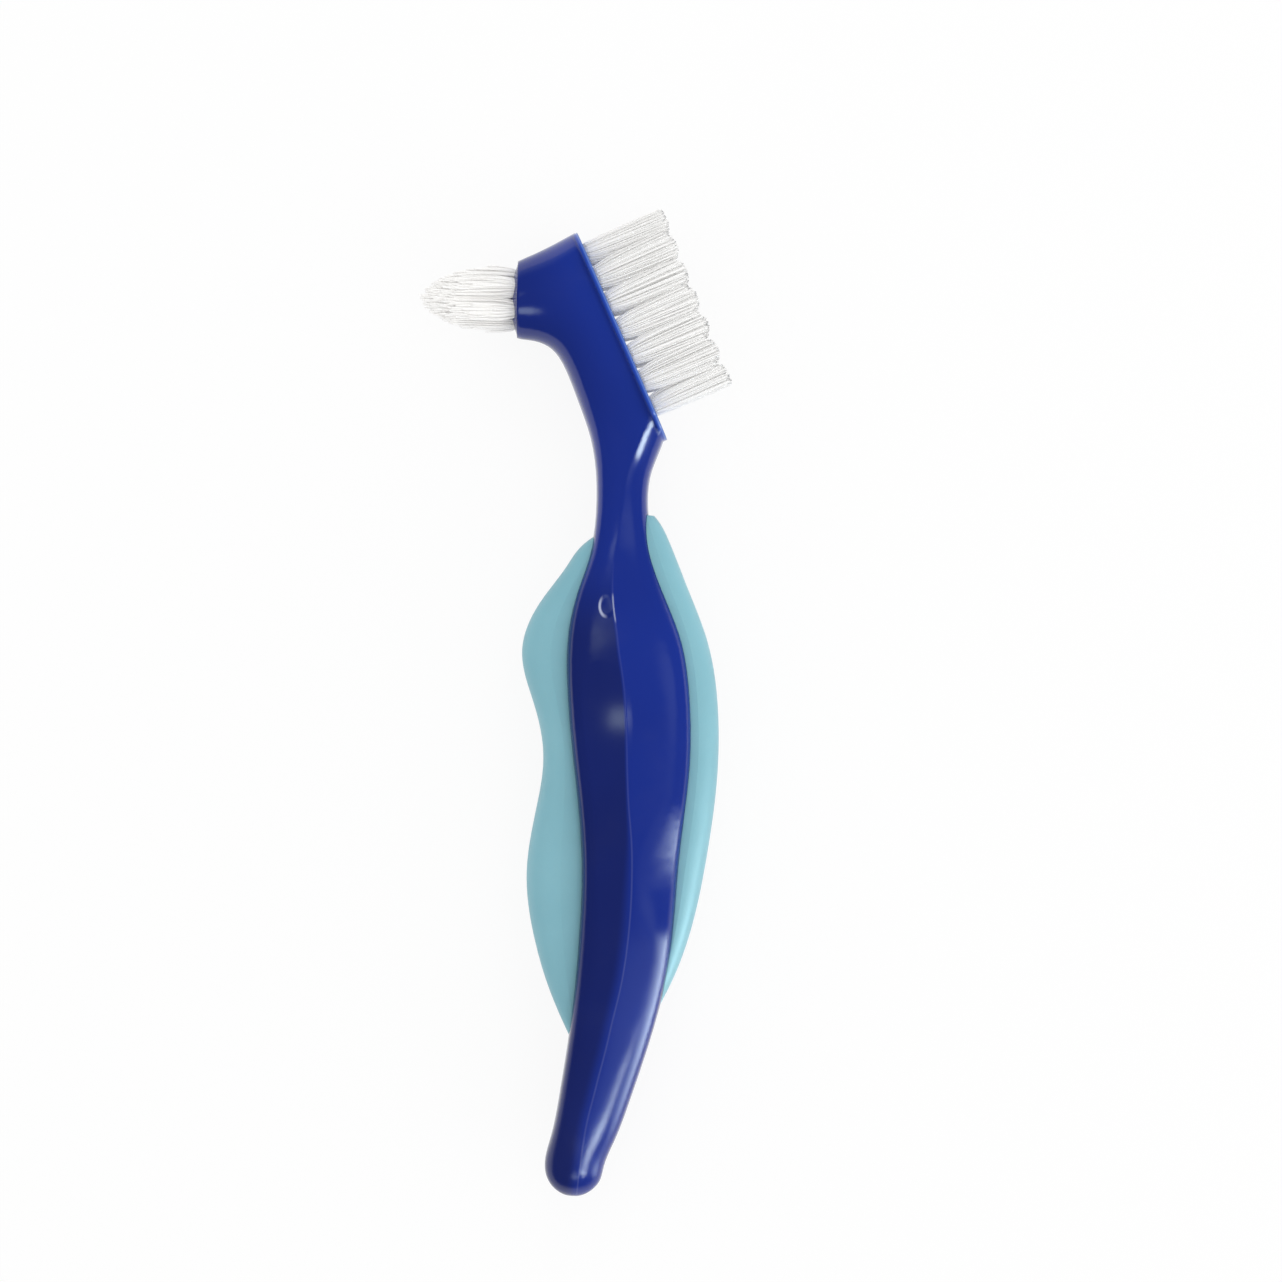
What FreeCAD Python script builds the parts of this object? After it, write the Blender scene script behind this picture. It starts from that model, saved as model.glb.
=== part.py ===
import FreeCAD, Part
import math
import os

from FreeCAD import Placement, Rotation, Vector

os.makedirs("parts", exist_ok=True)

# A denture brush, in millimetres, lying on its side.
# While it is built, X points towards the large brush, Y runs from the tail to the head,
# and Z is measured from the plane that parts the two halves of the handle.

# Hard body, from the tail to the neck. Each section gives its distance from the tail,
# left edge, right edge, ridge, half depth, and squareness from 0, oval, to 1, square.
tail_length = 4.8
tail_half_width = 4.6
tail_half_depth = 4.6
handle_sections = [
    (9.0, -3.97, 5.98, 1.2, 5.2, 0.55),
    (16.0, -3.05, 8.1, 2.4, 6.0, 0.75),
    (26.0, -2.2, 10.65, 4.1, 7.0, 0.9),
    (40.0, -1.75, 12.85, 5.4, 7.9, 1.0),
    (54.0, -2.35, 13.2, 4.9, 8.0, 1.0),
    (68.0, -4.6, 13.9, 3.4, 8.0, 1.0),
    (80.0, -6.4, 12.95, 1.9, 8.0, 1.0),
    (88.0, -6.8, 11.2, 0.8, 7.5, 0.9),
    (95.0, -5.7, 8.2, -0.4, 6.4, 0.75),
    (101.5, -4.05, 5.75, -0.2, 5.4, 0.6),
    (108.0, -3.75, 4.35, 0.4, 5.0, 0.5),
    (113.5, -4.25, 4.5, 1.0, 5.2, 0.5),
    (117.7, -5.2, 5.8, 2.3, 5.8, 0.5),
]
finger_shoulder = 1.02         # depth at a facet's edge, as a share of the depth at the ridge
thumb_shoulder = 0.89
flat_depth = 7.9               # half depth between the two flats that the brush can lie on

# Slanted pad that carries the large brush
pad_low_x = 6.56               # its corner next to the neck
pad_low_y = 118.78
pad_tilt = 27.5                # degrees from the handle's axis
pad_length = 35.2
pad_width = 15.5
pad_straight = 2.5             # straight part of the pad's short ends, between its corners
pad_thickness = 0.8
pad_lip = 0.5                  # the pad's rim stands this far out from the head

# Round boss that carries the small brush
boss_x = -18.24
boss_y = 139.0
boss_radius = 6.0
boss_turn = 3.2                # degrees that its axis dips towards the tail
boss_dome = 1.1
boss_rim = 0.4                 # flat rim left around the domed face

# Outline of the head between neck and boss, on the side away from the pad
head_back = [(-6.7, 121.6), (-8.6, 125.8), (-10.7, 129.8), (-13.3, 132.2), (-15.9, 132.8), (-17.0, 132.85)]

# Soft grips, moulded into grooves in both edges of the hard body.
# Each section gives its distance from the tail, outer edge and half depth.
finger_grip_sections = [
    (24.5, -1.9, 2.0),
    (32.0, -5.8, 4.2),
    (40.0, -8.75, 5.0),
    (50.0, -10.6, 5.2),
    (60.0, -9.8, 5.2),
    (68.0, -9.25, 5.2),
    (76.0, -11.2, 5.2),
    (84.0, -13.7, 5.2),
    (92.0, -11.5, 4.8),
    (98.0, -7.7, 4.0),
    (103.0, -3.7, 2.2),
]
thumb_grip_sections = [
    (26.0, 10.3, 2.4),
    (34.0, 13.0, 4.4),
    (42.0, 15.45, 5.1),
    (54.0, 17.25, 5.3),
    (68.0, 18.05, 5.3),
    (78.0, 17.35, 5.2),
    (88.0, 15.0, 4.9),
    (96.0, 11.35, 4.4),
    (103.0, 8.0, 3.8),
    (106.8, 5.4, 2.4),
]
groove_depth = 2.2             # how far a grip reaches into the hard body

# Tufts of the large brush, in rows across the pad
rows = 7
columns = 4                    # one fewer in the first and last row
first_row = 5.5                # from the pad's low corner
last_row = 3.48                # from the pad's top corner
side_column = 2.65             # from the pad's long side
hole_wall = 0.7                # between neighbouring holes of a row
hole_depth = 3.6
hole_clearance = 0.1
trim_low = 12.9                # tuft height above the pad at its low end
trim_top = 13.8                # and at its top end
tip_gap = 0.3                  # between the spread tips of neighbouring tufts

# Tufts of the small brush
ring_tufts = 6
ring_margin = 2.7              # from the boss's side to the middle of a tuft
small_hole_wall = 0.6          # between the middle hole and the ring's
small_hole_depth = 3.2
small_spread = 2.0             # height over which a tuft spreads above the boss
small_tip_gap = 0.1
small_straight = 7.4           # from the boss to where the brush starts to taper
small_length = 15.9
small_tip_radius = 0.4

# Flat metal anchors that hold the folded tufts in their holes
anchor_height = 1.3
anchor_thickness = 0.35
anchor_lift = 0.6              # above the floor of the hole
anchor_play = 0.02             # between an anchor's corners and the hole's wall

# Sizes that follow from the ones above
pad_corner = (pad_width - pad_straight) / 2
row_pitch = (pad_length - first_row - last_row) / (rows - 1)
column_pitch = (pad_width - 2 * side_column) / (columns - 1)
hole_diameter = column_pitch - hole_wall
root_diameter = hole_diameter - 2 * hole_clearance
tip_length = row_pitch - tip_gap
tip_width = column_pitch - tip_gap
ring_radius = boss_radius - ring_margin
small_hole_diameter = ring_radius - small_hole_wall
small_root_diameter = small_hole_diameter - 2 * hole_clearance
small_tip_width = min(1, 2 * math.sin(math.pi / ring_tufts)) * ring_radius - small_tip_gap
small_radius = ring_radius + small_tip_width / 2

UP = Vector(0, 0, 1)
tilt = math.radians(pad_tilt)
turn = math.radians(boss_turn)
pad_along = Vector(-math.sin(tilt), math.cos(tilt), 0)
pad_out = Vector(math.cos(tilt), math.sin(tilt), 0)
boss_along = Vector(math.sin(turn), -math.cos(turn), 0)
boss_out = Vector(-math.cos(turn), -math.sin(turn), 0)

# The pad and the boss have frames of their own: x along, y across the thickness, z outwards
pad_frame = Placement(Vector(pad_low_x, pad_low_y, 0), Rotation(pad_along, UP, pad_out, "XYZ"))
boss_frame = Placement(Vector(boss_x, boss_y, 0), Rotation(boss_along, UP, boss_out, "XYZ"))

# Poles of a quarter of a section, from its edge at 0, 0 to its ridge at 1, 1
oval_poles = [(0, 0), (0, 0.331), (0.134, 0.631), (0.369, 0.866), (0.669, 1), (1, 1)]
square_poles = [(0, 0), (0, 0.5), (0, 1), (0, 1), (0.5, 1), (1, 1)]


def quarter(edge, ridge, depth, shoulder, squareness, side):
    """A curve from a section's edge up, or down, to its ridge."""
    poles = []
    for oval, square in zip(oval_poles, square_poles):
        share = oval[0] + (square[0] - oval[0]) * squareness
        rise = oval[1] + (square[1] - oval[1]) * squareness
        height = side * depth * rise * (shoulder + (1 - shoulder) * share)
        poles.append(edge + (ridge - edge) * share + UP * height)
    curve = Part.BezierCurve()
    curve.setPoles(poles)
    return curve


def section(left, right, ridge_share, depth, shoulders, squareness):
    """A closed section from edge to edge, with a ridge above and below."""
    ridge = left + (right - left) * ridge_share
    curves = [quarter(left, ridge, depth, shoulders[0], squareness[0], 1),
              quarter(right, ridge, depth, shoulders[1], squareness[1], 1),
              quarter(right, ridge, depth, shoulders[1], squareness[1], -1),
              quarter(left, ridge, depth, shoulders[0], squareness[0], -1)]
    for backwards in (curves[1], curves[3]):
        backwards.setPoles(backwards.getPoles()[::-1])
    return Part.Wire([curve.toShape() for curve in curves])


def handle_section(y, left, right, ridge, depth, squareness,
                   shoulders=(finger_shoulder, thumb_shoulder)):
    ridge_share = (ridge - left) / (right - left)
    return section(Vector(left, y, 0), Vector(right, y, 0), ridge_share, depth, shoulders,
                   (squareness, squareness))


def tail_section(share):
    """A section of the rounded tail, by its share of the tail's length."""
    swell = math.sqrt(1 - (1 - share) ** 2)
    half_width = tail_half_width * swell
    return handle_section(tail_length * share, -half_width, half_width, 0.5 * share,
                          tail_half_depth * swell, 0.35, (0.9, 0.9))


def head_sections():
    """Sections that fan out from the neck, past the pad, and round to the boss."""
    rim = pad_width / 2 - pad_lip
    # Each row: place along and out from the pad, ridge, half depth, shoulder, squareness left and right
    shapes = [
        (3.6, 3.0, 0.72, 0.92 * rim, 0.96, (0.5, 0.5)),
        (8.0, 9.1, 0.6, 0.985 * rim, 0.98, (0.45, 0.5)),
        (20.4, 12.2, 0.58, rim, 1.0, (0.4, 0.5)),
        (34.6, 6.8, 0.5, 0.96 * rim, 1.0, (0.2, 0.4)),
        (35.1, -3.3, 0.5, 1.05 * boss_radius, 1.0, (0.05, 0.05)),
        (34.9, -7.2, 0.5, 1.01 * boss_radius, 1.0, (0.0, 0.0)),
    ]
    wires = []
    for (x, y), (along, out, ridge, depth, shoulder, squareness) in zip(head_back, shapes):
        front = pad_frame.multVec(Vector(along, 0, out))
        wires.append(section(Vector(x, y, 0), front, ridge, depth, (shoulder, shoulder), squareness))
    low = boss_frame.multVec(Vector(boss_radius, 0, 0))
    top = boss_frame.multVec(Vector(-boss_radius, 0, 0))
    wires.append(section(low, top, 0.5, boss_radius, (1.0, 1.0), (0.0, 0.0)))
    return wires


def make_pad():
    """The pad's plate, a rounded oblong whose face is the pad's."""
    plate = Part.makeBox(pad_length, pad_width, pad_thickness, Vector(0, -pad_width / 2, -pad_thickness))
    corners = [edge for edge in plate.Edges if abs(edge.tangentAt(edge.FirstParameter).z) > 0.99]
    plate = plate.makeFillet(pad_corner, corners)
    plate.Placement = pad_frame
    return plate


def turned(outline):
    """The solid that an outline, given by edges in the XZ plane, makes round the Z axis."""
    return Part.Face(Part.Wire(outline)).revolve(Vector(0, 0, 0), UP, 360)


def make_dome():
    """The boss's face, a shallow part of a sphere."""
    radius = boss_radius - boss_rim
    sphere_radius = (radius ** 2 + boss_dome ** 2) / (2 * boss_dome)
    half_turn = math.asin(radius / sphere_radius) / 2
    center = Vector(0, 0, 0)
    rim = Vector(radius, 0, 0)
    top = Vector(0, 0, boss_dome)
    halfway = Vector(sphere_radius * math.sin(half_turn), 0,
                     boss_dome - sphere_radius * (1 - math.cos(half_turn)))
    dome = turned([Part.makeLine(center, rim), Part.Arc(rim, halfway, top).toShape(),
                   Part.makeLine(top, center)])
    dome.Placement = boss_frame
    return dome


def make_blank():
    """The hard body before its holes and grooves."""
    wires = [tail_section(share) for share in (0.02, 0.1, 0.3, 0.6, 1.0)]
    wires += [handle_section(*row) for row in handle_sections]
    body = Part.makeLoft(wires + head_sections(), True)
    reach = 3 * pad_length
    beyond_pad = Part.makeBox(reach, reach, reach, Vector(-reach / 2, -reach / 2, -pad_thickness / 2))
    beyond_pad.Placement = pad_frame
    between_flats = Part.makeBox(2 * reach, 2 * reach, 2 * flat_depth, Vector(-reach, -reach / 4, -flat_depth))
    return body.common(between_flats).cut(beyond_pad).fuse([make_pad(), make_dome()])


def edge_at(y, column):
    """The hard body's left or right edge at a distance from the tail, between its sections."""
    known = handle_sections
    place = max(index for index in range(1, len(known) - 2) if known[index][0] <= y)
    before, low, high, after = known[place - 1:place + 3]
    span = high[0] - low[0]
    low_slope = (high[column] - before[column]) / (high[0] - before[0]) * span
    high_slope = (after[column] - low[column]) / (after[0] - low[0]) * span
    t = (y - low[0]) / span
    return (low[column] * (2 * t ** 3 - 3 * t ** 2 + 1) + low_slope * (t ** 3 - 2 * t ** 2 + t)
            + high[column] * (3 * t ** 2 - 2 * t ** 3) + high_slope * (t ** 3 - t ** 2))


def make_grip(sections, column, inward):
    """A soft grip: its root fills a groove in the hard body, and its outer edge is rounded."""
    wires = []
    for y, outer, depth in sections:
        root = Vector(edge_at(y, column) + inward * groove_depth, y, 0)
        wires.append(section(root, Vector(outer, y, 0), 0.5, depth, (0.95, 0.95), (0.8, 0.35)))
    return Part.makeLoft(wires, True)


def large_tuft_places():
    """Row, column, place along the pad and place across it, for each tuft."""
    places = []
    for row in range(rows):
        count = columns - 1 if row in (0, rows - 1) else columns
        for column in range(count):
            across = (column - (count - 1) / 2) * column_pitch
            places.append((row + 1, column + 1, first_row + row * row_pitch, across))
    return places


def small_tuft_places():
    """Place from the boss's axis of the middle tuft and of each tuft in the ring."""
    places = [(0.0, 0.0)]
    for index in range(ring_tufts):
        angle = 2 * math.pi * index / ring_tufts
        places.append((ring_radius * math.cos(angle), ring_radius * math.sin(angle)))
    return places


def oval(x, y, z, length, width):
    """A level oval wire, its length along x."""
    center = Vector(x, y, z)
    end = center + Vector(length / 2, 0, 0)
    side = center + Vector(0, width / 2, 0)
    if length == width:
        curve = Part.Circle(center, UP, length / 2)
    elif length > width:
        curve = Part.Ellipse(end, side, center)
    else:
        curve = Part.Ellipse(side, center * 2 - end, center)
    return Part.Wire(curve.toShape())


def make_anchor(x, y, diameter, depth):
    """A flat anchor, wedged across its hole, that the tuft is folded round."""
    width = math.sqrt(diameter ** 2 - anchor_thickness ** 2) - 2 * anchor_play
    corner = Vector(x - anchor_thickness / 2, y - width / 2, anchor_lift - depth)
    return Part.makeBox(anchor_thickness, width, anchor_height, corner)


def large_tuft(x, y):
    """A tuft that fills its hole and spreads towards its cut end."""
    height = trim_low + (trim_top - trim_low) * (x - first_row) / (pad_length - first_row)
    return Part.makeLoft([
        oval(x, y, -hole_depth, root_diameter, root_diameter),
        oval(x, y, 0, root_diameter, root_diameter),
        oval(x, y, height, tip_length, tip_width),
    ], True, True)


def small_tuft(x, y, cone):
    """A tuft of the small brush, cut to the shape of the whole brush."""
    levels = [(-small_hole_depth, small_root_diameter), (boss_dome, small_root_diameter),
              (boss_dome + small_spread, small_tip_width), (small_length, small_tip_width)]
    return Part.makeLoft([oval(x, y, z, size, size) for z, size in levels], True, True).common(cone)


def make_cone():
    """What the small brush is cut to: a round stem that curves in to a point."""
    rise = small_length - small_straight
    inset = small_radius - small_tip_radius
    arc_radius = (rise ** 2 + inset ** 2) / (2 * inset)
    half_turn = math.asin(rise / arc_radius) / 2
    foot_center = Vector(0, 0, -small_hole_depth)
    foot = Vector(small_radius, 0, -small_hole_depth)
    shoulder = Vector(small_radius, 0, small_straight)
    halfway = Vector(small_radius - arc_radius * (1 - math.cos(half_turn)), 0,
                     small_straight + arc_radius * math.sin(half_turn))
    tip = Vector(small_tip_radius, 0, small_length)
    tip_center = Vector(0, 0, small_length)
    return turned([Part.makeLine(foot_center, foot), Part.makeLine(foot, shoulder),
                   Part.Arc(shoulder, halfway, tip).toShape(), Part.makeLine(tip, tip_center),
                   Part.makeLine(tip_center, foot_center)])


def add_brush(parts, holes, name, frame, diameter, depth, tufts):
    """Seat a brush's tufts and anchors, and add the holes that they need."""
    anchors = []
    for tuft_name, x, y, tuft in tufts:
        anchor = make_anchor(x, y, diameter, depth)
        tuft = tuft.cut(anchor)
        hole = Part.makeCylinder(diameter / 2, 2 * depth, Vector(x, y, -depth))
        for shape in (anchor, tuft, hole):
            shape.Placement = frame
        parts[tuft_name] = tuft
        anchors.append(anchor)
        holes.append(hole)
    parts[name + "_anchors"] = Part.makeCompound(anchors)


def make_parts():
    """Every piece, in place, by its name."""
    parts = {
        "finger_grip": make_grip(finger_grip_sections, 1, 1),
        "thumb_grip": make_grip(thumb_grip_sections, 2, -1),
    }
    grooves = list(parts.values())
    holes = []
    large_tufts = [(f"large_tuft_{row}_{column}", x, y, large_tuft(x, y))
                   for row, column, x, y in large_tuft_places()]
    add_brush(parts, holes, "large_brush", pad_frame, hole_diameter, hole_depth, large_tufts)
    cone = make_cone()
    small_tufts = [(f"small_tuft_{number}", x, y, small_tuft(x, y, cone))
                   for number, (x, y) in enumerate(small_tuft_places(), 1)]
    add_brush(parts, holes, "small_brush", boss_frame, small_hole_diameter, small_hole_depth, small_tufts)
    parts["handle"] = make_blank().cut(grooves + holes)
    return parts


def lay_down(parts):
    """Move every piece so that the origin is under the middle of the brush, where it lies."""
    box = FreeCAD.BoundBox()
    for shape in parts.values():
        box.add(shape.optimalBoundingBox(False, False))
    print("overall", round(box.XLength, 2), round(box.YLength, 2), round(box.ZLength, 2))
    for shape in parts.values():
        shape.translate(Vector(-box.Center.x, -box.Center.y, -box.ZMin))


parts = make_parts()
lay_down(parts)
for name, shape in parts.items():
    print(name, round(shape.Volume, 1), len(shape.Solids), shape.isValid())
    shape.exportStep("parts/" + name + ".step")
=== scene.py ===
import math
import bpy
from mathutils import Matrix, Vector


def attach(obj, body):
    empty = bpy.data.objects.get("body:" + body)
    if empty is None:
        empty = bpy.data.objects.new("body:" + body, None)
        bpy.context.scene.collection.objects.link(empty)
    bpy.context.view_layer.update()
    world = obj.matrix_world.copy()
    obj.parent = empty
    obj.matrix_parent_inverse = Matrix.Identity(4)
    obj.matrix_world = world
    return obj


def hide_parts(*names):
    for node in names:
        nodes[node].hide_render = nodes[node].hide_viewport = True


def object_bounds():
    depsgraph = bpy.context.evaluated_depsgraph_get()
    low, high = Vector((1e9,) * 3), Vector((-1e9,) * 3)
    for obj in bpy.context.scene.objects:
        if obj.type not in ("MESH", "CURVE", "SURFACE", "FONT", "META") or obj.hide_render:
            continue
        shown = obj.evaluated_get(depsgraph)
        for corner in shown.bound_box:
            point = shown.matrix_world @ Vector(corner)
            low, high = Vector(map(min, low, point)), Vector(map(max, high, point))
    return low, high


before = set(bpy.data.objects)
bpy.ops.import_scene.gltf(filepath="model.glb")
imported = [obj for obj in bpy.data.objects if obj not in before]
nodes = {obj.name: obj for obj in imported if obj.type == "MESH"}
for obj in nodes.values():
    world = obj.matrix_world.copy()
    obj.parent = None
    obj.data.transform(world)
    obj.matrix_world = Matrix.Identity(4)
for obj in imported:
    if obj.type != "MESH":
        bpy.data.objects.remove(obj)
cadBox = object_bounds()
print("frame loaded with", len(nodes), "nodes")


# Node trees: a wire is an output socket, and arithmetic on wires adds Math nodes

class Wire:
    def __init__(self, maker, socket):
        self.maker = maker
        self.socket = socket

    def math(self, operation, *values):
        return self.maker.node("ShaderNodeMath", {"operation": operation}, dict(enumerate(values)))

    def __add__(self, other):
        return self.math("ADD", self, other)

    def __radd__(self, other):
        return self.math("ADD", other, self)

    def __sub__(self, other):
        return self.math("SUBTRACT", self, other)

    def __rsub__(self, other):
        return self.math("SUBTRACT", other, self)

    def __mul__(self, other):
        return self.math("MULTIPLY", self, other)

    def __rmul__(self, other):
        return self.math("MULTIPLY", other, self)

    def __truediv__(self, other):
        return self.math("DIVIDE", self, other)

    def __pow__(self, other):
        return self.math("POWER", self, other)

    def abs(self):
        return self.math("ABSOLUTE", self)

    def cos(self):
        return self.math("COSINE", self)

    def sin(self):
        return self.math("SINE", self)

    def sqrt(self):
        return self.math("SQRT", self)

    def atMost(self, other):
        return self.math("MINIMUM", self, other)

    def atLeast(self, other):
        return self.math("MAXIMUM", self, other)

    def part(self, axis):                            # x, y or z of a vector
        return self.maker.node("ShaderNodeSeparateXYZ", {}, {0: self}, "XYZ".index(axis))

    def ramp(self, low, high, lowValue=0.0, highValue=1.0, kind="SMOOTHSTEP"):
        settings = {"interpolation_type": kind, "clamp": True}
        limits = {"From Min": low, "From Max": high, "To Min": lowValue, "To Max": highValue}
        return self.maker.node("ShaderNodeMapRange", settings, {"Value": self, **limits})


class Maker:
    def __init__(self, tree):
        self.tree = tree

    def node(self, kind, settings=None, inputs=None, output=0):
        made = self.tree.nodes.new(kind)
        for name, value in (settings or {}).items():
            if name == "points":                     # a float curve's points
                points = made.mapping.curves[0].points
                while len(points) < len(value):
                    points.new(0.5, 0.5)
                for point, place in zip(points, value):
                    point.location = place
                made.mapping.update()
            else:
                setattr(made, name, value)
        for name, value in (inputs or {}).items():
            if isinstance(value, Wire):
                self.tree.links.new(value.socket, made.inputs[name])
            else:
                made.inputs[name].default_value = value
        return Wire(self, made.outputs[output]) if len(made.outputs) else made

    def vector(self, operation, *values):
        return self.node("ShaderNodeVectorMath", {"operation": operation}, dict(enumerate(values)))

    def dot(self, first, second):
        settings = {"operation": "DOT_PRODUCT"}
        return self.node("ShaderNodeVectorMath", settings, {0: first, 1: second}, "Value")

    def length(self, vector):
        return self.node("ShaderNodeVectorMath", {"operation": "LENGTH"}, {0: vector}, "Value")

    def scaled(self, vector, factor):
        return self.node("ShaderNodeVectorMath", {"operation": "SCALE"}, {0: vector, "Scale": factor})

    def mix(self, factor, first, second):            # between two colours
        return self.node("ShaderNodeMix", {"data_type": "RGBA"}, {0: factor, 6: first, 7: second}, 2)

    def place(self):                                 # the point's own coordinates, in metres
        return self.node("ShaderNodeTexCoord", {}, {}, "Object")

    def noise(self, place, size, detail=2.0, roughness=0.5):
        values = {"Vector": place, "Scale": 1 / size, "Detail": detail, "Roughness": roughness}
        return self.node("ShaderNodeTexNoise", {}, values)

    def rounded(self, radius, samples):              # the surface's direction, averaged over a radius
        return self.node("ShaderNodeBevel", {"samples": samples}, {"Radius": radius})

    def turned(self, factor, first, second):         # between two directions
        settings = {"data_type": "VECTOR"}
        return self.node("ShaderNodeMix", settings, {0: factor, 4: first, 5: second}, 1)

    def bump(self, height, distance, normal=None):
        inputs = {"Height": height, "Distance": distance}
        if normal:
            inputs["Normal"] = normal
        return self.node("ShaderNodeBump", {}, inputs)

    def ray(self, name):                             # 1 where that kind of ray looks, such as glossy
        return self.node("ShaderNodeLightPath", {}, {}, name)


def newMaterial(name):
    material = bpy.data.materials.new(name)
    material.use_nodes = True
    material.node_tree.nodes.clear()
    return material, Maker(material.node_tree)


def surface(maker, shader):
    maker.node("ShaderNodeOutputMaterial", {}, {"Surface": shader})


def principled(maker, inputs):
    return maker.node("ShaderNodeBsdfPrincipled", {}, inputs)


# Where things are, in metres. The tail's frame starts at the tail's tip, halfway up the brush

def meshPoints(node):
    return [vertex.co.copy() for vertex in nodes[node].data.vertices]


def tailOrigin():
    points = meshPoints("handle")
    tip = min(point.y for point in points)
    end = [point for point in points if point.y < tip + 1e-6]
    middle = sum(end, Vector()) / len(end)
    endFace = 0.0001                                 # how far from the origin the handle's end face is
    return Vector((middle.x, tip - endFace, (cadBox[0].z + cadBox[1].z) / 2))


tail = tailOrigin()
print("tail at", [round(value, 5) for value in tail])


# Hard body

handleLook = {
    "color": (0.0090, 0.0272, 0.249, 1),
    # a darker blue for painted shade left of the ridge and on the head away from the pad, and for the slow
    # clouds of colour
    "shadeAndCloudColor": (0.0072, 0.0150, 0.120, 1),
    "edgeHighlightColor": (0.018, 0.062, 0.40, 1),            # painted highlight along the pad's edge, where its rounded lip catches the light
    "rimHighlightColor": (0.10, 0.19, 0.56, 1),
    "padTilt": 27.5,
    # depths below the pad's face, from where a colour is full or starts to where it ends or is full
    "edgeDepth": (0.00033, 0.0011),
    "rimDepth": (0.00018, 0.00045),
    "edgeGlow": (0.0011, 0.007),                     # the edge's painted highlight goes on a little into the head
    "headDepth": (0.002, 0.013),                     # over this depth the head gets painted shade, darker away from the pad
    "gateMark": (-0.0009, 0.0923),                   # middle of the shallow hollow, in the tail's frame
    "gateSize": (0.0014, 0.0020),                    # half sizes
    "gateHighlightRim": (0.62, 0.80, 0.86, 1.05),             # its painted highlight, a whitish crescent on the rim, in shares of them
    "gateDepth": 0.00014,
    "highlightColor": (0.52, 0.57, 0.76, 1),              # painted highlight on the hollow's edge, the ridge line and the scratch
    # the palm side falls and rises a little: place, half sizes and height
    "swells": [
        ((0.0140, 0.0500), (0.0080, 0.0140), -0.0009),
        ((0.0120, 0.0430), (0.0070, 0.0065), 0.00018),
    ],
    "scratchAndGlint": (0.0895, 0.0945),                     # where the ridge line is sharpest: a scratch, with a painted glint on it
    "roughness": 0.13,
    "smudge": 0.06,                                  # how much more rough where it was handled
    "tailWear": 0.07,                                # and towards the tail's tip
    "cloudSize": 0.030,                              # of the slow changes of colour
    "smudgeSize": 0.009,
    "grainSize": 0.0011,
    # the ridge as the distance along the tail's frame and sideways, in millimetres
    "ridge": [(0.0, 0.7), (10.0, 1.3), (16.8, 2.4), (26.3, 4.1), (40.5, 5.9), (51.4, 5.8), (63.8, 4.3),
              (77.8, 2.9), (87.1, 1.1), (97.9, -0.4), (102.7, -0.1), (110.5, 0.6), (118.5, 2.4)],
    "ridgeWidth": 0.00022,
    # stretches of its length over which something changes, in the tail's frame
    "worn": (0.005, 0.035),
    "lineHighlight": (0.050, 0.075),
    "lineEnd": (0.094, 0.101),
    "borderNarrow": (0.045, 0.065),
    "leftEnd": (0.086, 0.101),
    "headStart": (0.117, 0.130),
    "roundTail": (0.035, 0.065),
    "roundNeck": (0.094, 0.102),
    "neckDepth": (0.012, 0.018),                     # the neck starts this far below the pad's face
    "edgeRadius": 0.0006,                            # how softly moulded its edges are
    "tailRadius": 0.0025,                            # the same over the round tail and the neck
}


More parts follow.
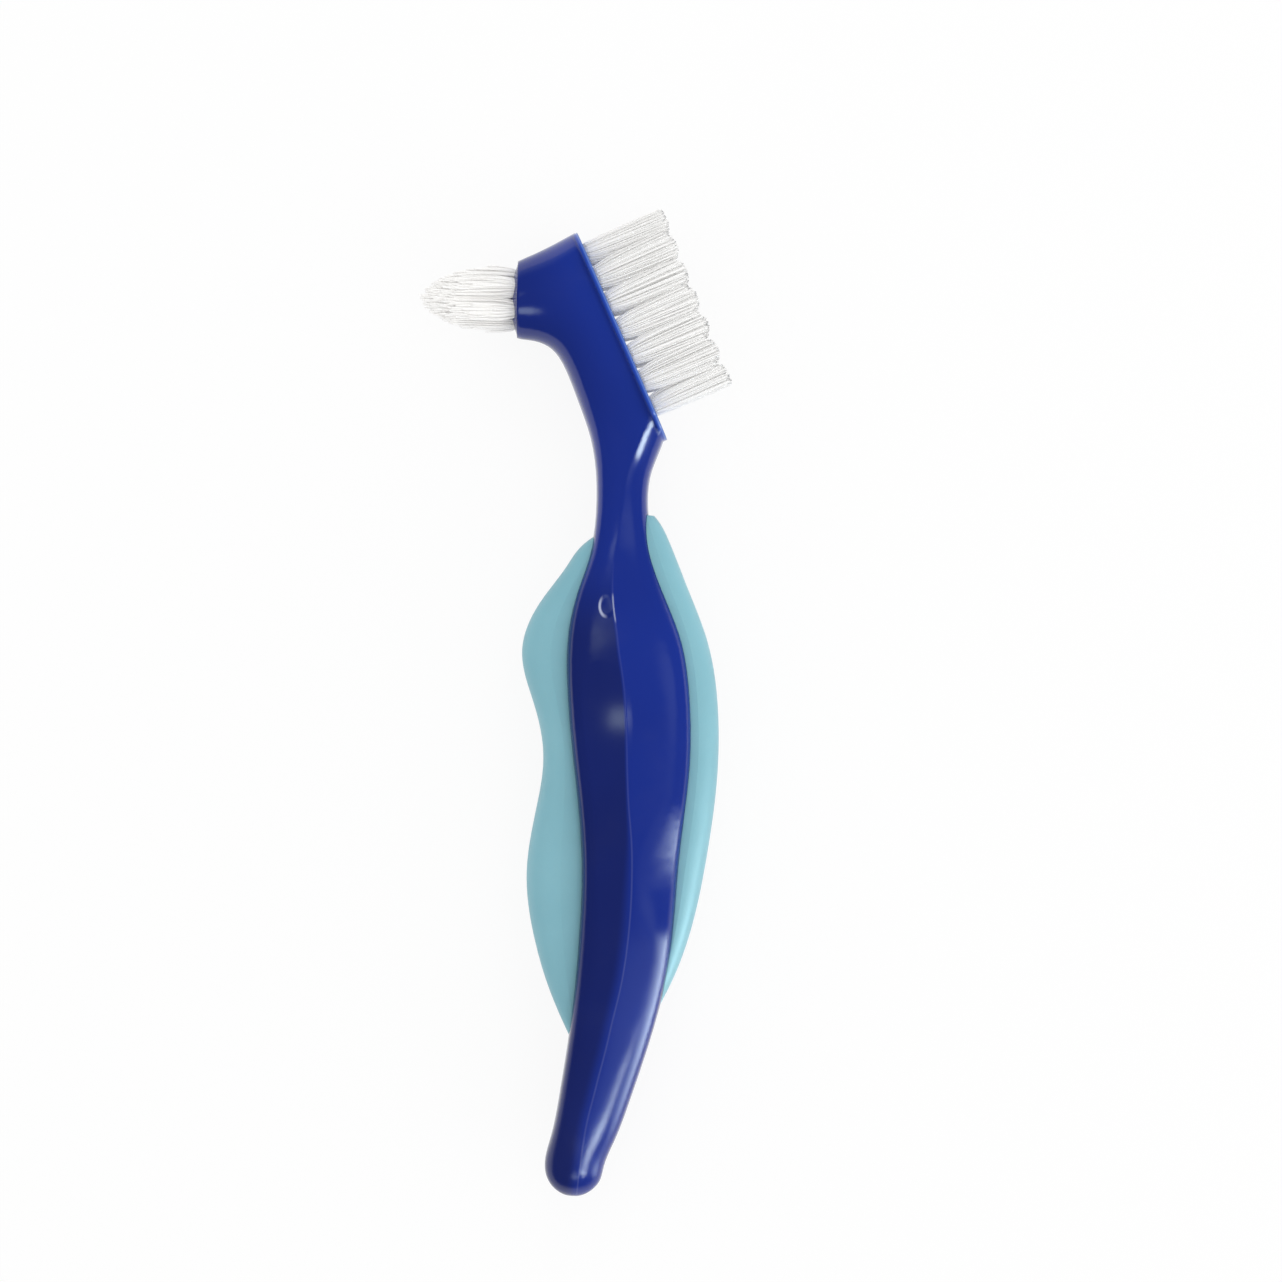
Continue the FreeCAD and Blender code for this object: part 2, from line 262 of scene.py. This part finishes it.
def handleMaterial():
    look = handleLook
    material, maker = newMaterial("deepBluePlastic")
    place = maker.place()

    def lengthwise(name, first, last):               # from one value to the other between two places
        low, high = look[name]
        return place.part("Y").ramp(tail.y + low, tail.y + high, first, last)

    broad = maker.noise(place, look["cloudSize"], 2).ramp(0.35, 0.65)
    smudges = maker.noise(place, look["smudgeSize"], 4, 0.6).ramp(0.45, 0.75)
    fine = maker.noise(place, look["grainSize"], 2)
    worn = lengthwise("worn", 1.0, 0.0)
    roughness = look["roughness"] + smudges * look["smudge"] + worn * look["tailWear"]
    # a fine line along the ridge, as a curve of x over y
    length, width = 0.125, 0.016                     # what the curve's unit square covers
    along = (place.part("Y") - tail.y) / length
    points = [(y / 1000 / length, 0.5 + x / 1000 / width) for y, x in look["ridge"]]
    bend = maker.node("ShaderNodeFloatCurve", {"points": points}, {"Value": along})
    across = place.part("X") - tail.x - (bend - 0.5) * width
    line = across.abs().ramp(0.0, look["ridgeWidth"], 1.0, 0.0)
    line = line * lengthwise("lineEnd", 1.0, 0.0)
    # painted shade: left of the ridge the facet is darker, with a softer border towards the tail, and the
    # slow clouds of colour add a little of the same darker blue
    border = lengthwise("borderNarrow", 0.0019, 0.0005)
    left = (across / border).ramp(-1.0, 0.1, 1.0, 0.0) * lengthwise("leftEnd", 1.0, 0.0)
    color = maker.mix(left * 0.85 + broad * 0.15, look["color"], look["shadeAndCloudColor"])
    # painted highlight: the ridge line is tinted whitish
    color = maker.mix(line * lengthwise("lineHighlight", 0.06, 0.03), color, look["highlightColor"])
    # the head gets lighter towards the pad, and the pad's thin edge is lightest along its rim
    angle = math.radians(look["padTilt"])
    out = Vector((math.cos(angle), math.sin(angle), 0))
    padFace = max(point.dot(out) for point in meshPoints("handle"))
    depth = padFace - maker.dot(place, out)
    # painted shade and painted highlight: the head gets lighter towards the pad, and the pad's thin edge is
    # lightest along its rim
    color = maker.mix(depth.ramp(*look["edgeGlow"], 0.08, 0.0), color, look["edgeHighlightColor"])
    head = depth.ramp(*look["headDepth"]) * lengthwise("headStart", 0.0, 1.0)
    color = maker.mix(head * 0.5, color, look["shadeAndCloudColor"])
    # painted highlight: the pad's edge and, lightest, its rim
    color = maker.mix(depth.ramp(*look["edgeDepth"], 1.0, 0.0), color, look["edgeHighlightColor"])
    color = maker.mix(depth.ramp(*look["rimDepth"], 1.0, 0.0), color, look["rimHighlightColor"])
    # a shallow hollow beside the ridge, left by the mould's gate, deepest at its lower left
    hollowX = (place.part("X") - tail.x - look["gateMark"][0]) / look["gateSize"][0]
    hollowY = (place.part("Y") - tail.y - look["gateMark"][1]) / look["gateSize"][1]
    fromMiddle = (hollowX * hollowX + hollowY * hollowY).sqrt()
    top = place.part("Z").ramp(tail.z, tail.z + 0.001)
    leftSide = (hollowX * 0.85 + hollowY * 0.35).ramp(-0.8, -0.1, 1.0, 0.0)
    inside = fromMiddle.ramp(0.6, 1.0, 1.0, 0.0) * top
    hollow = 1 - inside * (hollowX * 0.75 + hollowY * 0.65).ramp(-0.9, 0.7, 1.0, 0.0)
    start, full, fading, end = look["gateHighlightRim"]
    crescentHighlight = fromMiddle.ramp(start, full) * fromMiddle.ramp(fading, end, 1.0, 0.0) * leftSide * top
    low, high = (tail.y + value for value in look["scratchAndGlint"])
    sharp = place.part("Y").ramp(low, low + 0.001) * place.part("Y").ramp(high - 0.001, high, 1.0, 0.0)
    # painted highlight: a whitish crescent on the hollow's rim and a glint on the ridge's sharpest stretch
    color = maker.mix(crescentHighlight.atLeast(line * sharp * 0.7) * 0.75, color, look["highlightColor"])
    # soft edges, softer over the tail and the neck, and on them the hollow, the swells and the grain
    nearTail = lengthwise("roundTail", 1.0, 0.0)
    neck = lengthwise("roundNeck", 0.0, 1.0) * depth.ramp(*look["neckDepth"])
    rounded = maker.rounded(look["edgeRadius"], 6)
    rounder = maker.rounded(look["tailRadius"], 12)
    normal = maker.turned(nearTail + neck, rounded, rounder)
    normal = maker.bump(hollow, look["gateDepth"], normal)
    swell = 0.0
    for (x, y), (halfX, halfY), height in look["swells"]:
        offX = (place.part("X") - tail.x - x) / halfX
        offY = (place.part("Y") - tail.y - y) / halfY
        swell = (offX * offX + offY * offY).sqrt().ramp(0.0, 1.0, height * 1000, 0.0) + swell
    normal = maker.bump(swell * top, 0.001, normal)
    grain = fine * 0.02 + line * (0.08 + sharp * 0.8)
    normal = maker.bump(grain, 0.0001, normal)
    surface(maker, principled(maker, {
        "Base Color": color,
        "Roughness": roughness,
        "IOR": 1.5,
        "Normal": normal,
    }))
    return material


nodes["handle"].material_slots[0].material = handleMaterial()
print("hard body finished")


# Soft grips

gripLook = {
    "color": (0.231, 0.482, 0.556, 1),
    "patchColor": (0.214, 0.456, 0.530, 1),
    "roughness": 0.42,
    "patchSize": 0.014,
    "grainSize": 0.0004,
    "grainDepth": 0.00002,
    "lightDepth": 0.0012,                            # how deep light goes into it
}


def gripMaterial():
    look = gripLook
    material, maker = newMaterial("paleSoftGrip")
    place = maker.place()
    patches = maker.noise(place, look["patchSize"], 3).ramp(0.3, 0.7)
    color = maker.mix(patches, look["color"], look["patchColor"])
    grain = maker.noise(place, look["grainSize"], 3, 0.6)
    surface(maker, principled(maker, {
        "Base Color": color,
        "Roughness": look["roughness"] + grain * 0.12,
        "IOR": 1.45,
        "Subsurface Weight": 0.25,
        "Subsurface Radius": (0.6, 0.9, 1.0),
        "Subsurface Scale": look["lightDepth"],
        "Normal": maker.bump(grain, look["grainDepth"]),
    }))
    return material


softGrip = gripMaterial()
for name in ("finger_grip", "thumb_grip"):
    nodes[name].material_slots[0].material = softGrip
print("soft grips finished")


# Metal anchors at the bottom of the holes

anchorLook = {
    "color": (0.78, 0.57, 0.27, 1),
    "streakColor": (0.55, 0.38, 0.16, 1),
    "streakSize": 0.0003,
    "stretch": (1.0, 1.0, 0.1),                      # the streaks run along Z
}


def anchorMaterial():
    look = anchorLook
    material, maker = newMaterial("drawnBrass")
    place = maker.vector("MULTIPLY", maker.place(), look["stretch"])
    streaks = maker.noise(place, look["streakSize"], 2)
    color = maker.mix(streaks, look["color"], look["streakColor"])
    surface(maker, principled(maker, {
        "Base Color": color,
        "Metallic": 1.0,
        "Roughness": 0.28 + streaks * 0.15,
    }))
    return material


brass = anchorMaterial()
for name in ("large_brush_anchors", "small_brush_anchors"):
    nodes[name].material_slots[0].material = brass
print("anchors finished")


# Bristles: each tuft's place and height come from its node

clearNylon = {
    "color": (0.96, 0.955, 0.945, 1),
    "shade": (0.89, 0.885, 0.875, 1),                # some filaments are darker
    # painted shade at the roots, tinted by a painted blue reflection of the pad
    "rootShadeColor": (0.62, 0.64, 0.71, 1),
    "rootShadeShare": 0.21,                               # how much of the length has the root's painted shade
    "tipShade": 0.8,                                 # how grey the cut ends of the darker ones are
    "ior": 1.45,
}

whiteNylon = {
    "color": (1.0, 0.995, 0.985, 1),
    "shade": (0.97, 0.96, 0.945, 1),
    # painted shade at the roots, faint and bluish
    "rootShadeColor": (0.92, 0.93, 0.96, 1),
    "rootShadeShare": 0.24,
    "tipShade": 0.12,
    "ior": 1.12,
}

cutColor = (0.30, 0.30, 0.31, 1)
goldenAngle = 2.39996                                # radians from one filament to the next


def bristleMaterial(name, look):
    material, maker = newMaterial(name)
    along = maker.node("ShaderNodeAttribute", {"attribute_name": "along"}, {}, "Fac")
    tone = maker.node("ShaderNodeAttribute", {"attribute_name": "tone"}, {}, "Fac")
    body = maker.mix(tone, look["color"], look["shade"])
    # painted shade near the roots, with a painted blue reflection of the pad
    body = maker.mix(along.ramp(0.16, look["rootShadeShare"], 1.0, 0.0), body, look["rootShadeColor"])
    cutEnd = along.ramp(0.975, 1.0) * tone.ramp(0.4, 0.9)
    body = maker.mix(cutEnd * look["tipShade"], body, cutColor)
    surface(maker, principled(maker, {
        "Base Color": body,
        "Roughness": 0.26 + tone * 0.12,
        "IOR": look["ior"],
    }))
    return material


largeBrush = {
    "pattern": "large_tuft_",
    "tilt": handleLook["padTilt"],                   # degrees from the handle's axis
    "holeDepth": 0.0036,
    "filaments": 112,
    "filamentRadius": 0.0001,
    "sides": 5,
    "steps": 6,
    "merge": 1.3,                                    # above 1 the tips of a tuft reach into the next
    "inward": 0.4,                                   # the same for the end rows, which keep to the box
    "spread": 0.0128,                                # height over which a tuft spreads
    "spreadPower": 0.24,                             # below 1 it spreads soon after its hole
    "ragged": 0.0007,
    "dome": 0.0017,                                  # how much lower a tuft is where it meets the next row
    "sway": 0.0002,
    "stray": 0.00034,
    "startDepth": 0.001,                             # the filaments start this far inside the hole
    "seed": 5,
}

smallBrush = {
    "pattern": "small_tuft_",
    "turn": 3.2,                                     # degrees that its axis dips towards the tail
    "holeDepth": 0.0032,
    "tipShift": (0.0, 0.0),                          # its tufts run straight on
    "tipHalf": (0.0017, 0.0017),
    "filaments": 120,
    "filamentRadius": 0.00012,
    "sides": 5,
    "steps": 8,
    "merge": 1.06,
    "spread": 0.0031,
    "spreadPower": 0.6,
    "ragged": 0.0022,
    "sway": 0.0002,
    "stray": 0.0002,
    "startDepth": 0.001,
    "seed": 11,
    # its tufts are cut together: straight at first, then along an arc to a narrow tip
    "trimRadius": 0.0049,
    "trimTip": 0.0004,
    "trimStraight": 0.0055,
    "trimLength": 0.0159,
}


def brushAxes(brush):
    if "tilt" in brush:
        angle = math.radians(brush["tilt"])
        along = Vector((-math.sin(angle), math.cos(angle), 0))
        out = Vector((math.cos(angle), math.sin(angle), 0))
    else:
        angle = math.radians(brush["turn"])
        along = Vector((math.sin(angle), -math.cos(angle), 0))
        out = Vector((-math.cos(angle), -math.sin(angle), 0))
    return along, Vector((0, 0, 1)), out


def tuftPlaces(brush):
    along, across, out = brushAxes(brush)
    tufts = []
    for name in sorted(nodes):
        if not name.startswith(brush["pattern"]):
            continue
        points = meshPoints(name)
        heights = [point.dot(out) for point in points]
        low, high = min(heights), max(heights)
        root = [p for p, h in zip(points, heights) if h < low + 1e-5]
        tip = [p for p, h in zip(points, heights) if h > high - 1e-5]

        def span(ring, axis):                        # middle and half length of a ring of points
            values = [point.dot(axis) for point in ring]
            return (max(values) + min(values)) / 2, (max(values) - min(values)) / 2

        rootAlong, rootAcross = span(root, along), span(root, across)
        tipAlong, tipAcross = span(tip, along), span(tip, across)
        mouth = low + brush["holeDepth"]
        tufts.append({
            "name": name,
            "mouth": along * rootAlong[0] + across * rootAcross[0] + out * mouth,
            "rootRadius": rootAlong[1],
            "tipShift": brush.get("tipShift", (tipAlong[0] - rootAlong[0], tipAcross[0] - rootAcross[0])),
            "tipHalf": list(brush.get("tipHalf", (tipAlong[1], tipAcross[1]))),
            "height": high - mouth,
        })
    return tufts


def widenTips(brush, tufts):
    # tips inside the brush run into their neighbours, and the outermost ones keep to the box
    along = brushAxes(brush)[0]
    places = [tuft["mouth"].dot(along) for tuft in tufts]
    for tuft, place in zip(tufts, places):
        tuft["tipHalf"][1] = tuft["tipHalf"][1] * brush["merge"]
        last, first = place > max(places) - 1e-4, place < min(places) + 1e-4
        tuft["openSide"] = last - first
        if brush is smallBrush or not (last or first):
            tuft["tipHalf"][0] = tuft["tipHalf"][0] * brush["merge"]
            continue
        spare = brush["stray"] + 2 * brush["filamentRadius"]
        reach = brush["inward"] * tuft["tipHalf"][0]
        inward = -1 if last else 1
        tuft["tipHalf"][0] = tuft["tipHalf"][0] + (reach - spare) / 2
        tuft["tipShift"] = (tuft["tipShift"][0] + inward * (reach + spare) / 2, tuft["tipShift"][1])


def bristleTree(brush):
    tree = bpy.data.node_groups.new(brush["pattern"] + "tree", "GeometryNodeTree")
    maker = Maker(tree)
    face = tree.interface
    face.new_socket("Tufts", in_out="INPUT", socket_type="NodeSocketGeometry")
    face.new_socket("Bristles", in_out="OUTPUT", socket_type="NodeSocketGeometry")
    kinds = {
        "Int": ["Filaments", "Sides", "Steps", "Seed"],
        "Float": ["Filament Radius", "Root Radius", "Spread Height", "Spread Power", "Start Depth",
                  "Ragged", "Dome", "Sway", "Stray",
                  "Trim Radius", "Trim Tip", "Trim Straight", "Trim Length"],
        "Vector": ["Along", "Across", "Out", "Axis Point"],
        "Material": ["Material"],
    }
    for kind, names in kinds.items():
        for name in names:
            face.new_socket(name, in_out="INPUT", socket_type="NodeSocket" + kind)
    group = tree.nodes.new("NodeGroupInput")

    def given(name):
        return Wire(maker, group.outputs[name])

    def random(low, high, offset):
        values = {2: low, 3: high, "Seed": given("Seed") + offset}
        return maker.node("FunctionNodeRandomValue", {"data_type": "FLOAT"}, values, 1)

    def store(geometry, name, value, kind):
        settings = {"data_type": kind, "domain": "POINT"}
        values = {"Geometry": geometry, "Name": name, "Value": value}
        return maker.node("GeometryNodeStoreNamedAttribute", settings, values)

    def named(name, kind):
        return maker.node("GeometryNodeInputNamedAttribute", {"data_type": kind}, {"Name": name})

    # one point for each filament, on a sunflower pattern over its tuft
    tuftTurn = random(0.0, 2 * math.pi, 1)
    tufts = store(given("Tufts"), "turn", tuftTurn, "FLOAT")
    copies = maker.node("GeometryNodeDuplicateElements", {"domain": "POINT"},
                        {"Geometry": tufts, "Amount": given("Filaments")})
    number = Wire(maker, copies.socket.node.outputs["Duplicate Index"])
    angle = number * goldenAngle + named("turn", "FLOAT")
    ring = ((number + 0.5) / given("Filaments")).sqrt()
    ringX = ring * angle.cos()
    ringY = ring * angle.sin()

    def spot(lengthwise, sideways):
        first = maker.scaled(given("Along"), lengthwise)
        return maker.vector("ADD", first, maker.scaled(given("Across"), sideways))

    rootSpot = spot(ringX * given("Root Radius"), ringY * given("Root Radius"))
    strayX = random(-1.0, 1.0, 2) * given("Stray")
    strayY = random(-1.0, 1.0, 3) * given("Stray")
    tipSpot = spot(named("tipShiftAlong", "FLOAT") + ringX * named("tipHalfAlong", "FLOAT") + strayX,
                   named("tipShiftAcross", "FLOAT") + ringY * named("tipHalfAcross", "FLOAT") + strayY)
    height = named("height", "FLOAT") + random(-1.0, 0.0, 4) * given("Ragged")
    # a tuft is lower where it meets the next row, but not on its open side
    fall = ringX.abs() - (ringX * named("openSide", "FLOAT")).atLeast(0.0)
    height = height - fall * fall * given("Dome")
    if brush is smallBrush:                          # the whole brush is cut to an arc that ends in a point
        mouth = maker.node("GeometryNodeInputPosition")
        fromAxis = maker.vector("SUBTRACT", maker.vector("ADD", mouth, tipSpot), given("Axis Point"))
        outward = maker.dot(fromAxis, given("Out"))
        flat = maker.vector("SUBTRACT", fromAxis, maker.scaled(given("Out"), outward))
        distance = maker.length(flat)
        rise = given("Trim Length") - given("Trim Straight")
        inset = given("Trim Radius") - given("Trim Tip")
        arc = (rise * rise + inset * inset) / (inset * 2)
        away = arc - (given("Trim Radius") - distance).atLeast(0.0)
        limit = given("Trim Straight") + (arc * arc - away * away).atLeast(0.0).sqrt()
        limit = limit + random(-1.0, 0.0, 5) * given("Ragged")
        height = height.atMost(limit)
    swayAngle = random(0.0, 2 * math.pi, 6)
    swaySize = random(0.0, 1.0, 7) * given("Sway")
    sway = spot(swayAngle.cos() * swaySize, swayAngle.sin() * swaySize)
    points = store(copies, "rootSpot", rootSpot, "FLOAT_VECTOR")
    points = store(points, "tipSpot", tipSpot, "FLOAT_VECTOR")
    points = store(points, "sway", sway, "FLOAT_VECTOR")
    points = store(points, "rise", height, "FLOAT")
    points = store(points, "mouth", maker.node("GeometryNodeInputPosition"), "FLOAT_VECTOR")
    points = store(points, "tone", random(0.0, 1.0, 8), "FLOAT")

    # a line on each point, bent from its root spot to its tip spot
    line = maker.node("GeometryNodeCurvePrimitiveLine", {}, {"Start": (0, 0, 0), "End": (0, 0, 0.001)})
    line = maker.node("GeometryNodeResampleCurve", {}, {"Curve": line, "Count": given("Steps")})
    lines = maker.node("GeometryNodeInstanceOnPoints", {}, {"Points": points, "Instance": line})
    lines = maker.node("GeometryNodeRealizeInstances", {}, {"Geometry": lines})
    share = maker.node("GeometryNodeSplineParameter", {}, {}, "Factor")
    lines = store(lines, "along", share, "FLOAT")
    climb = share ** 1.4                             # the steps lie closer near the hole
    level = (named("rise", "FLOAT") + given("Start Depth")) * climb - given("Start Depth")
    spread = level.ramp(0.0, given("Spread Height"), kind="LINEAR") ** given("Spread Power")
    fromRoot = maker.vector("SUBTRACT", named("tipSpot", "FLOAT_VECTOR"), named("rootSpot", "FLOAT_VECTOR"))
    bent = maker.vector("ADD", named("rootSpot", "FLOAT_VECTOR"), maker.scaled(fromRoot, spread))
    bent = maker.vector("ADD", bent, maker.scaled(named("sway", "FLOAT_VECTOR"), (share * math.pi).sin()))
    bent = maker.vector("ADD", bent, maker.scaled(given("Out"), level))
    bent = maker.vector("ADD", bent, named("mouth", "FLOAT_VECTOR"))
    lines = maker.node("GeometryNodeSetPosition", {}, {"Geometry": lines, "Position": bent})
    profile = maker.node("GeometryNodeCurvePrimitiveCircle", {},
                         {"Resolution": given("Sides"), "Radius": given("Filament Radius")})
    mesh = maker.node("GeometryNodeCurveToMesh", {},
                      {"Curve": lines, "Profile Curve": profile, "Fill Caps": True})
    mesh = maker.node("GeometryNodeSetShadeSmooth", {}, {"Geometry": mesh})
    mesh = maker.node("GeometryNodeRealizeInstances", {}, {"Geometry": mesh})
    mesh = maker.node("GeometryNodeSetMaterial", {}, {"Geometry": mesh, "Material": given("Material")})
    result = tree.nodes.new("NodeGroupOutput")
    tree.links.new(mesh.socket, result.inputs["Bristles"])
    return tree


def growBristles(name, brush, material):
    along, across, out = brushAxes(brush)
    tufts = tuftPlaces(brush)
    widenTips(brush, tufts)
    seedMesh = bpy.data.meshes.new(name + "Places")
    seedMesh.from_pydata([tuft["mouth"] for tuft in tufts], [], [])
    facts = {
        "height": [tuft["height"] for tuft in tufts],
        "tipShiftAlong": [tuft["tipShift"][0] for tuft in tufts],
        "tipShiftAcross": [tuft["tipShift"][1] for tuft in tufts],
        "tipHalfAlong": [tuft["tipHalf"][0] for tuft in tufts],
        "tipHalfAcross": [tuft["tipHalf"][1] for tuft in tufts],
        "openSide": [tuft["openSide"] for tuft in tufts],
    }
    for fact, values in facts.items():
        seedMesh.attributes.new(fact, "FLOAT", "POINT").data.foreach_set("value", values)
    grower = bpy.data.objects.new(name + "Grower", seedMesh)
    bpy.context.scene.collection.objects.link(grower)
    tree = bristleTree(brush)
    modifier = grower.modifiers.new("bristles", "NODES")
    modifier.node_group = tree
    axisPoint = sum((tuft["mouth"] for tuft in tufts), Vector()) / len(tufts)
    radius = brush["filamentRadius"]
    values = {
        "Filaments": brush["filaments"], "Sides": brush["sides"], "Steps": brush["steps"],
        "Seed": brush["seed"], "Filament Radius": radius,
        "Root Radius": tufts[0]["rootRadius"] - radius,
        "Spread Height": brush["spread"], "Spread Power": brush["spreadPower"],
        "Start Depth": brush["startDepth"], "Ragged": brush["ragged"],
        "Dome": brush.get("dome", 0), "Sway": brush["sway"], "Stray": brush["stray"],
        "Along": along, "Across": across, "Out": out, "Axis Point": axisPoint,
        "Trim Radius": brush.get("trimRadius", 0), "Trim Tip": brush.get("trimTip", 0),
        "Trim Straight": brush.get("trimStraight", 0), "Trim Length": brush.get("trimLength", 0),
        "Material": material,
    }
    for item in tree.interface.items_tree:
        if item.in_out == "INPUT" and item.name in values:
            modifier[item.identifier] = values[item.name]
    bpy.context.view_layer.update()
    grown = grower.evaluated_get(bpy.context.evaluated_depsgraph_get())
    mesh = bpy.data.meshes.new_from_object(grown)
    bpy.data.objects.remove(grower)
    piece = bpy.data.objects.new(name, mesh)
    bpy.context.scene.collection.objects.link(piece)
    piece.visible_shadow = False                     # light goes on through the clear filaments
    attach(piece, "root")
    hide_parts(*[tuft["name"] for tuft in tufts])
    triangles = sum(len(polygon.vertices) - 2 for polygon in mesh.polygons)
    print(name, "has", len(tufts), "tufts and", triangles, "triangles")


largeNylon = bristleMaterial("clearNylon", clearNylon)
smallNylon = bristleMaterial("whiteNylon", whiteNylon)
growBristles("largeBristles", largeBrush, largeNylon)
growBristles("smallBristles", smallBrush, smallNylon)
print("bristles grown")


# Floor, light and camera

studio = {
    "floorSize": 1.6,
    "floorGap": 0.0002,                              # keeps the floor just clear of the handle's flats
    "floorColor": (0.85, 0.85, 0.85, 1),
    "floorGlow": 0.9,                                # share of the floor that is plain white background
    "ambient": 0.95,                                 # even light from all round
    "mirrored": 0.03,                                # gloss mirrors a dark studio with softboxes instead
    "backGlow": 0.4,                                 # low at the back it is lighter
    "backdrop": 0.985,                               # past the floor's edge, about the floor's white
    "glowColor": (0.84, 1.0, 1.03, 1),               # the softboxes are a little cool
}

# softboxes far away, seen as gloss only: degrees round, degrees up, inner and outer radius, strength
glows = [
    (-45, 49.5, 4, 7.5, 20.0),
    (-90, 53, 4, 12, 3.4),
    (18, 63, 3, 12, 0.45),
    (-36, 66, 3, 13, 0.5),
    (104, 76, 0, 6, 1.3),
]

# name, degrees round from the right, degrees up, distance, size, watts
lamps = [
    ("sideSoftbox", -20, 20, 0.75, (0.50, 0.40), 1.25),
    ("backSoftbox", 80, 36, 0.80, (0.40, 0.16), 0.9),
]

# upright card beside the tail, seen as gloss only: its strength falls off over its height
tailCard = {
    "place": (0.1115, -0.0160, 0.130),               # its middle, in the tail's frame and above the floor
    "size": (0.1275, 0.260),
    "strength": 14.0,
    "fade": 2.2,
}

# small lamp above the flat beside the ridge, seen as gloss only
spotCard = {
    "place": (0.0021, 0.0745, 0.0558),
    "size": (0.003, 0.003),
    "strength": 3.8,
    "fade": 0.0,
}


def skyDirection(turn, rising):
    turn, rising = math.radians(turn), math.radians(rising)
    return Vector((math.cos(turn) * math.cos(rising), math.sin(turn) * math.cos(rising), math.sin(rising)))


def addFloor():
    half = studio["floorSize"] / 2
    mesh = bpy.data.meshes.new("floor")
    low = -studio["floorGap"]
    corners = [(-half, -half, low), (half, -half, low), (half, half, low), (-half, half, low)]
    mesh.from_pydata(corners, [], [(0, 1, 2, 3)])
    floor = bpy.data.objects.new("floor", mesh)
    bpy.context.scene.collection.objects.link(floor)
    material, maker = newMaterial("whiteFloor")
    diffuse = maker.node("ShaderNodeBsdfDiffuse", {}, {"Color": studio["floorColor"]})
    glow = maker.node("ShaderNodeEmission", {}, {"Color": (1, 1, 1, 1), "Strength": 1.0})
    seen = maker.ray("Is Camera Ray").atLeast(maker.ray("Is Glossy Ray"))
    seen = seen.atLeast(maker.ray("Is Transmission Ray"))
    mixed = maker.node("ShaderNodeMixShader", {}, {0: seen * studio["floorGlow"], 1: diffuse, 2: glow})
    surface(maker, mixed)
    mesh.materials.append(material)


def addWorld():
    world = bpy.data.worlds.new("studio")
    world.use_nodes = True
    world.node_tree.nodes.clear()
    maker = Maker(world.node_tree)
    direction = maker.node("ShaderNodeTexCoord", {}, {}, "Generated")
    back = direction.part("Y").ramp(0.2, 0.8) * direction.part("Z").ramp(0.05, 0.45, 1.0, 0.0)
    mirrored = studio["mirrored"] + back * studio["backGlow"]
    for turn, rising, inner, outer, glow in glows:
        near = maker.dot(direction, skyDirection(turn, rising))
        near = near.ramp(math.cos(math.radians(outer)), math.cos(math.radians(inner)))
        mirrored = mirrored + near * glow
    glossy, camera = maker.ray("Is Glossy Ray"), maker.ray("Is Camera Ray")
    strength = studio["ambient"] + glossy * (mirrored - studio["ambient"])
    strength = strength + camera * (studio["backdrop"] - studio["ambient"])
    color = maker.mix(glossy, (1, 1, 1, 1), studio["glowColor"])
    background = maker.node("ShaderNodeBackground", {}, {"Color": color, "Strength": strength})
    maker.node("ShaderNodeOutputWorld", {}, {"Surface": background})
    bpy.context.scene.world = world


def newLamp(name, size, watts, place, toward):
    lamp = bpy.data.lights.new(name, "AREA")
    lamp.shape = "RECTANGLE"
    lamp.size = size[0]
    lamp.size_y = size[1]
    lamp.energy = watts
    holder = bpy.data.objects.new(name, lamp)
    holder.location = place
    holder.rotation_euler = toward.to_track_quat("Z", "Y").to_euler()
    bpy.context.scene.collection.objects.link(holder)
    return holder


def addLamp(name, turn, rising, distance, size, watts):
    toward = skyDirection(turn, rising)
    holder = newLamp(name, size, watts, toward * distance, toward)
    holder.visible_glossy = False


def addCard(name, card, toward):
    x, y, z = card["place"]
    watts = card["strength"] * math.pi * card["size"][0] * card["size"][1]
    holder = newLamp(name, card["size"], watts, Vector((tail.x + x, tail.y + y, z)), Vector(toward))
    holder.visible_diffuse = False
    holder.visible_camera = False
    lamp = holder.data
    lamp.color = studio["glowColor"][:3]
    if card["fade"]:
        lamp.use_nodes = True
        lamp.node_tree.nodes.clear()
        maker = Maker(lamp.node_tree)
        spot = maker.node("ShaderNodeNewGeometry", {}, {}, "Parametric")  # 0 to 1 over the card
        sides = spot.part("X").ramp(0.1, 0.55) * spot.part("X").ramp(0.85, 1.0, 1.0, 0.0)
        strength = (1 - spot.part("Y")) ** card["fade"] * sides
        glow = maker.node("ShaderNodeEmission", {}, {"Strength": strength})
        maker.node("ShaderNodeOutputLight", {}, {"Surface": glow})


addFloor()
addWorld()
for lamp in lamps:
    addLamp(*lamp)
addCard("tailCard", tailCard, (1, 0, 0))
addCard("spotCard", spotCard, (0, 0, 1))

photoView = {
    "turn": 4.0,                                     # degrees that the brush is turned in the picture
    "centre": (0.0047, 0.08719),                     # in the tail's frame
    "width": 0.20016,                                # what the picture's width covers, in metres
    "lens": 180.0,
    "sensor": 36.0,
}


def addCamera():
    view = photoView
    camera = bpy.data.cameras.new("camera")
    camera.lens = view["lens"]
    camera.sensor_width = view["sensor"]
    camera.clip_start = 0.01
    camera.clip_end = 10
    holder = bpy.data.objects.new("camera", camera)
    bpy.context.scene.collection.objects.link(holder)
    distance = view["lens"] / view["sensor"] * view["width"]
    x, y = view["centre"]
    holder.location = (tail.x + x, tail.y + y, tail.z + distance)
    holder.rotation_euler = (0, 0, math.radians(view["turn"]))
    bpy.context.scene.camera = holder


addCamera()
scene = bpy.context.scene
scene.view_settings.view_transform = "Standard"
print("studio ready")
